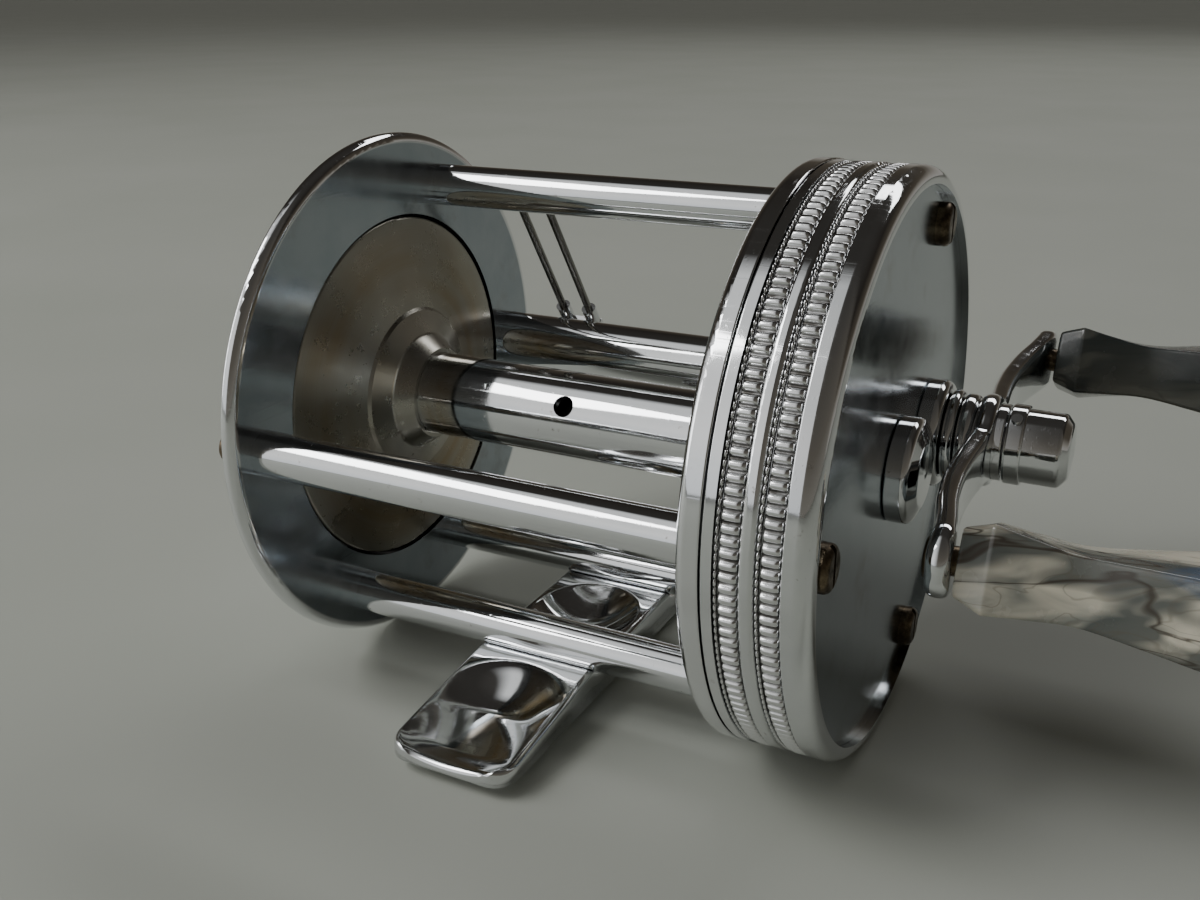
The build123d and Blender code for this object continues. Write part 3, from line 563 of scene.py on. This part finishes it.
# ---- Worm ----
def worm_screw():
    """Shaft with two crossed helical grooves, which the guide's pawl follows."""
    low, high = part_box("worm_shaft")
    radius = (high.z - low.z) / 2
    journal = 1.2 * MM
    start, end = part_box("worm_bush_tail")[1].x + 0.15 * MM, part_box("worm_bush_head")[0].x - 0.15 * MM
    groove_from, groove_to = start + 3.4 * MM, end - 3.4 * MM
    pitch, depth, half_groove = 6.4 * MM, 0.55 * MM, 0.62 * MM
    rows, columns = 420, 64
    stations = [(low.x, journal), (start, journal)]
    stations += [(start + (end - start) * row / (rows - 1), radius) for row in range(rows)]
    stations += [(end, journal), (high.x, journal)]

    def groove(place, angle, hand):
        phase = (hand * (place - groove_from) / pitch - angle / (2 * math.pi)) % 1.0
        distance = min(phase, 1 - phase) * pitch
        return 1 - smooth_step((distance - 0.6 * half_groove) / (0.5 * half_groove))

    points = []
    for place, base in stations:
        inside = smooth_step((place - groove_from) / MM) * smooth_step((groove_to - place) / MM)
        for column in range(columns):
            angle = 2 * math.pi * column / columns
            cut = depth * inside * max(groove(place, angle, 1), groove(place, angle, -1))
            reach = base - cut if base == radius else base
            points.append((place, WORM_AXIS.y + reach * math.cos(angle),
                           WORM_AXIS.z + reach * math.sin(angle)))
    faces = capped_strip(len(stations), columns)
    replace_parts(mesh_piece("worm_screw", points, faces, "worm", STEEL), "worm_shaft")


# ---- Foot ----
FOOT_SIZE = size("foot") / MM
SCREW_PILLAR = centre("front_foot_pillar") / MM     # the pillar over one of the foot's two screws
SEAT_RADIUS = size("front_foot_pillar").y / 2 / MM + 0.02
SADDLE_HALF = 11.2     # mm from the middle to where each blade starts to slope
TIP_RIM, TIP_FLOOR = 1.5, 0.55
DISH_HALF_WIDTH, DISH_HALF_LENGTH, DISH_DEPTH = 5.5, 6.4, 2.2
TROUGH_START, TROUGH_ARCH = 11.3, 0.07     # the arch moves out by the second, for each mm across squared
TROUGH_FALL, TROUGH_RIM = 6.5, 0.5         # mm over which the trough falls, and the rim beside it
RUN_OUT, RUN_OUT_SHARE = 3.0, 0.3          # mm before the tip where the trough gets shallower, and its share


def foot_height(across, along, half_width, tip):
    """Height of the foot's upper surface, in mm: a saddle with a dish, and a troughed blade at each end."""
    saddle = FOOT_SIZE.z
    rim = saddle - (saddle - TIP_RIM) * max(along - SADDLE_HALF, 0) / (tip - SADDLE_HALF)
    height = rim
    # The oval dish between the two pillars
    oval = math.hypot(across / DISH_HALF_WIDTH, along / DISH_HALF_LENGTH)
    if oval < 1:
        height = rim - DISH_DEPTH * (1 - oval ** 2)
    # The trough of the blade starts in an arch and runs out over the tip's lower middle.
    arch = TROUGH_START + TROUGH_ARCH * across ** 2
    fraction = abs(across) / (half_width - TROUGH_RIM)
    if along > arch and fraction < 1:
        fall = smooth_step((along - arch) / TROUGH_FALL)
        run_out = 1 - RUN_OUT_SHARE * smooth_step((along - tip + RUN_OUT) / RUN_OUT)
        height = rim - (rim - TIP_FLOOR) * fall * run_out * (1 - fraction ** 2) ** 0.8
    # The pillars lie in round seats across the saddle.
    from_pillar = along - SCREW_PILLAR.y
    if abs(from_pillar) < SEAT_RADIUS:
        height = min(height, SCREW_PILLAR.z - math.sqrt(SEAT_RADIUS ** 2 - from_pillar ** 2))
    return height


def foot_body():
    """Stamped foot with rounded rims, as long and as wide as the CAD foot."""
    half_foot, tip = FOOT_SIZE.x / 2, FOOT_SIZE.y / 2
    corner, edge = 2.2, 0.6
    rows, columns = 361, 96
    points = []
    for row in range(rows):
        place = -tip * math.cos(math.pi * row / (rows - 1))
        along = abs(place)
        into_corner = max(along - (tip - corner), 0)
        half = half_foot - corner + math.sqrt(max(corner ** 2 - into_corner ** 2, 0))
        for column in range(columns + 1):
            across = half * math.cos(math.pi * column / columns)
            height = foot_height(across, along, half, tip)
            inset = min(half - abs(across), tip - along)
            if inset < edge:
                height -= edge - math.sqrt(max(edge ** 2 - (edge - inset) ** 2, 0))
            points.append((across * MM, place * MM, height * MM))
        points.append((-half * MM, place * MM, 0.0))
        points.append((half * MM, place * MM, 0.0))
    faces = capped_strip(rows, columns + 3)
    foot = mesh_piece("foot_body", points, faces, "frame", CHROME)
    for side in (1, -1):
        drill(foot, side * SCREW_PILLAR.y)
    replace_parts(foot, "foot")


def drill(foot, y):
    """Countersunk hole for a screw, cut from below."""
    columns = 48
    head, bore = 1.95, 1.05    # radii
    profile = ((-0.5, head), (0.42, head), (1.25, bore), (4.0, bore))
    points = []
    for height, radius in profile:
        for column in range(columns):
            angle = 2 * math.pi * column / columns
            points.append((radius * math.cos(angle) * MM, (y + radius * math.sin(angle)) * MM, height * MM))
    mesh = bpy.data.meshes.new("hole")
    mesh.from_pydata(points, [], capped_strip(len(profile), columns))
    tool = bpy.data.objects.new("hole", mesh)
    bpy.context.scene.collection.objects.link(tool)
    cut = foot.modifiers.new("hole", "BOOLEAN")
    cut.object = tool
    cut.operation = "DIFFERENCE"
    cut.solver = "EXACT"
    depsgraph = bpy.context.evaluated_depsgraph_get()
    cut_mesh = bpy.data.meshes.new_from_object(foot.evaluated_get(depsgraph))
    foot.modifiers.clear()
    foot.data = cut_mesh
    bpy.data.objects.remove(tool)


head_bands()
crank_arm()
grip("front_grip_shell", "front_knob", "front_grip", SHADED_GRIP_FRONT)
grip("rear_grip_shell", "rear_knob", "rear_grip", GRIP_REAR)
worm_screw()
foot_body()


# ---- Floor, light and camera ----
def stage_floor():
    reach = 6.0
    height = cad_bounds[0].z
    mesh = bpy.data.meshes.new("floor")
    mesh.from_pydata([(-reach, -reach, height), (reach, -reach, height), (reach, reach, height),
                      (-reach, reach, height)], [], [(0, 1, 2, 3)])
    floor = bpy.data.objects.new("floor", mesh)
    bpy.context.scene.collection.objects.link(floor)
    paint(floor, floor_paint())


def softbox(name, direction, distance, width, height, power, colour=(1, 1, 1)):
    """Area light in a direction from the reel, turned to face it."""
    light = bpy.data.lights.new(name, "AREA")
    light.shape = "RECTANGLE"
    light.size, light.size_y = width, height
    light.energy = power
    light.color = colour
    lamp = bpy.data.objects.new(name, light)
    lamp.location = AXIS + Vector(direction).normalized() * distance
    lamp.rotation_mode = "QUATERNION"
    lamp.rotation_quaternion = (lamp.location - AXIS).to_track_quat("Z", "Y")
    bpy.context.scene.collection.objects.link(lamp)


def room_light():
    """Room for the chrome to reflect: a bright window wall by the tail, dim and brown elsewhere."""
    world = bpy.data.worlds.new("room")
    bpy.context.scene.world = world
    world.use_nodes = True
    nodes, links = world.node_tree.nodes, world.node_tree.links
    coords = nodes.new("ShaderNodeTexCoord")
    parts = nodes.new("ShaderNodeSeparateXYZ")
    links.new(coords.outputs["Generated"], parts.inputs[0])

    def ramp(source, stops):
        node = nodes.new("ShaderNodeValToRGB")
        while len(node.color_ramp.elements) < len(stops):
            node.color_ramp.elements.new(1.0)
        for element, (position, colour) in zip(node.color_ramp.elements, stops):
            element.position = position
            element.color = (*colour, 1)
        links.new(source, node.inputs["Fac"])
        return node.outputs["Color"]

    def half_shifted(source, gain):
        node = nodes.new("ShaderNodeMath")
        node.operation = "MULTIPLY_ADD"
        node.inputs[1].default_value = gain
        node.inputs[2].default_value = 0.5
        links.new(source, node.inputs[0])
        return node.outputs[0]

    def mixed(factor, first, second):
        mix = nodes.new("ShaderNodeMix")
        mix.data_type = "RGBA"
        for socket, source in zip((0, 6, 7), (factor, first, second)):
            links.new(source, mix.inputs[socket])
        return mix.outputs[2]

    far = ramp(parts.outputs["Z"], ((0.0, (0.30, 0.29, 0.27)), (0.10, (0.22, 0.205, 0.18)),
                                    (0.24, (0.065, 0.055, 0.042)), (0.60, (0.022, 0.019, 0.016)),
                                    (1.0, (0.035, 0.033, 0.030))))
    window = ramp(parts.outputs["Z"], ((0.0, (0.85, 0.88, 0.90)), (0.35, (1.0, 1.0, 0.99)),
                                       (1.0, (0.75, 0.76, 0.76))))
    dim_wall = ramp(parts.outputs["Z"], ((0.0, (0.16, 0.15, 0.13)), (0.3, (0.10, 0.09, 0.075)),
                                         (1.0, (0.05, 0.047, 0.043))))
    toward_crank = ramp(half_shifted(parts.outputs["X"], 0.5), ((0.34, (0, 0, 0)), (0.45, (1, 1, 1))))
    near = mixed(toward_crank, window, dim_wall)
    toward_camera = ramp(half_shifted(parts.outputs["Y"], -0.5), ((0.46, (0, 0, 0)), (0.54, (1, 1, 1))))
    links.new(mixed(toward_camera, far, near), nodes["Background"].inputs["Color"])


def camera():
    """Camera behind the reel on the crank's side, looking down on it."""
    azimuth, elevation, roll = (math.radians(a) for a in (27.21, 20.87, -0.31))
    look_along = Vector((-math.sin(azimuth) * math.cos(elevation), math.cos(azimuth) * math.cos(elevation),
                         -math.sin(elevation)))
    data = bpy.data.cameras.new("camera")
    data.lens = 37.0
    data.clip_start, data.clip_end = 0.001, 20
    cam = bpy.data.objects.new("camera", data)
    cam.location = AXIS + Vector((54.3 * MM - AXIS.x, -102.0 * MM, 40.45 * MM))
    cam.rotation_mode = "QUATERNION"
    upright = (-look_along).to_track_quat("Z", "Y")
    cam.rotation_quaternion = upright @ Matrix.Rotation(roll, 3, "Z").to_quaternion()
    bpy.context.scene.collection.objects.link(cam)
    bpy.context.scene.camera = cam


stage_floor()
room_light()
softbox("key", (-0.75, -0.55, 1.0), 0.9, 0.5, 0.3, 3.2)
softbox("side", (-1.0, -0.45, 0.30), 0.9, 0.3, 0.5, 1.2)
softbox("back", (0.1, 0.9, 0.85), 1.5, 1.0, 0.3, 4.5)
camera()

bpy.context.view_layer.update()
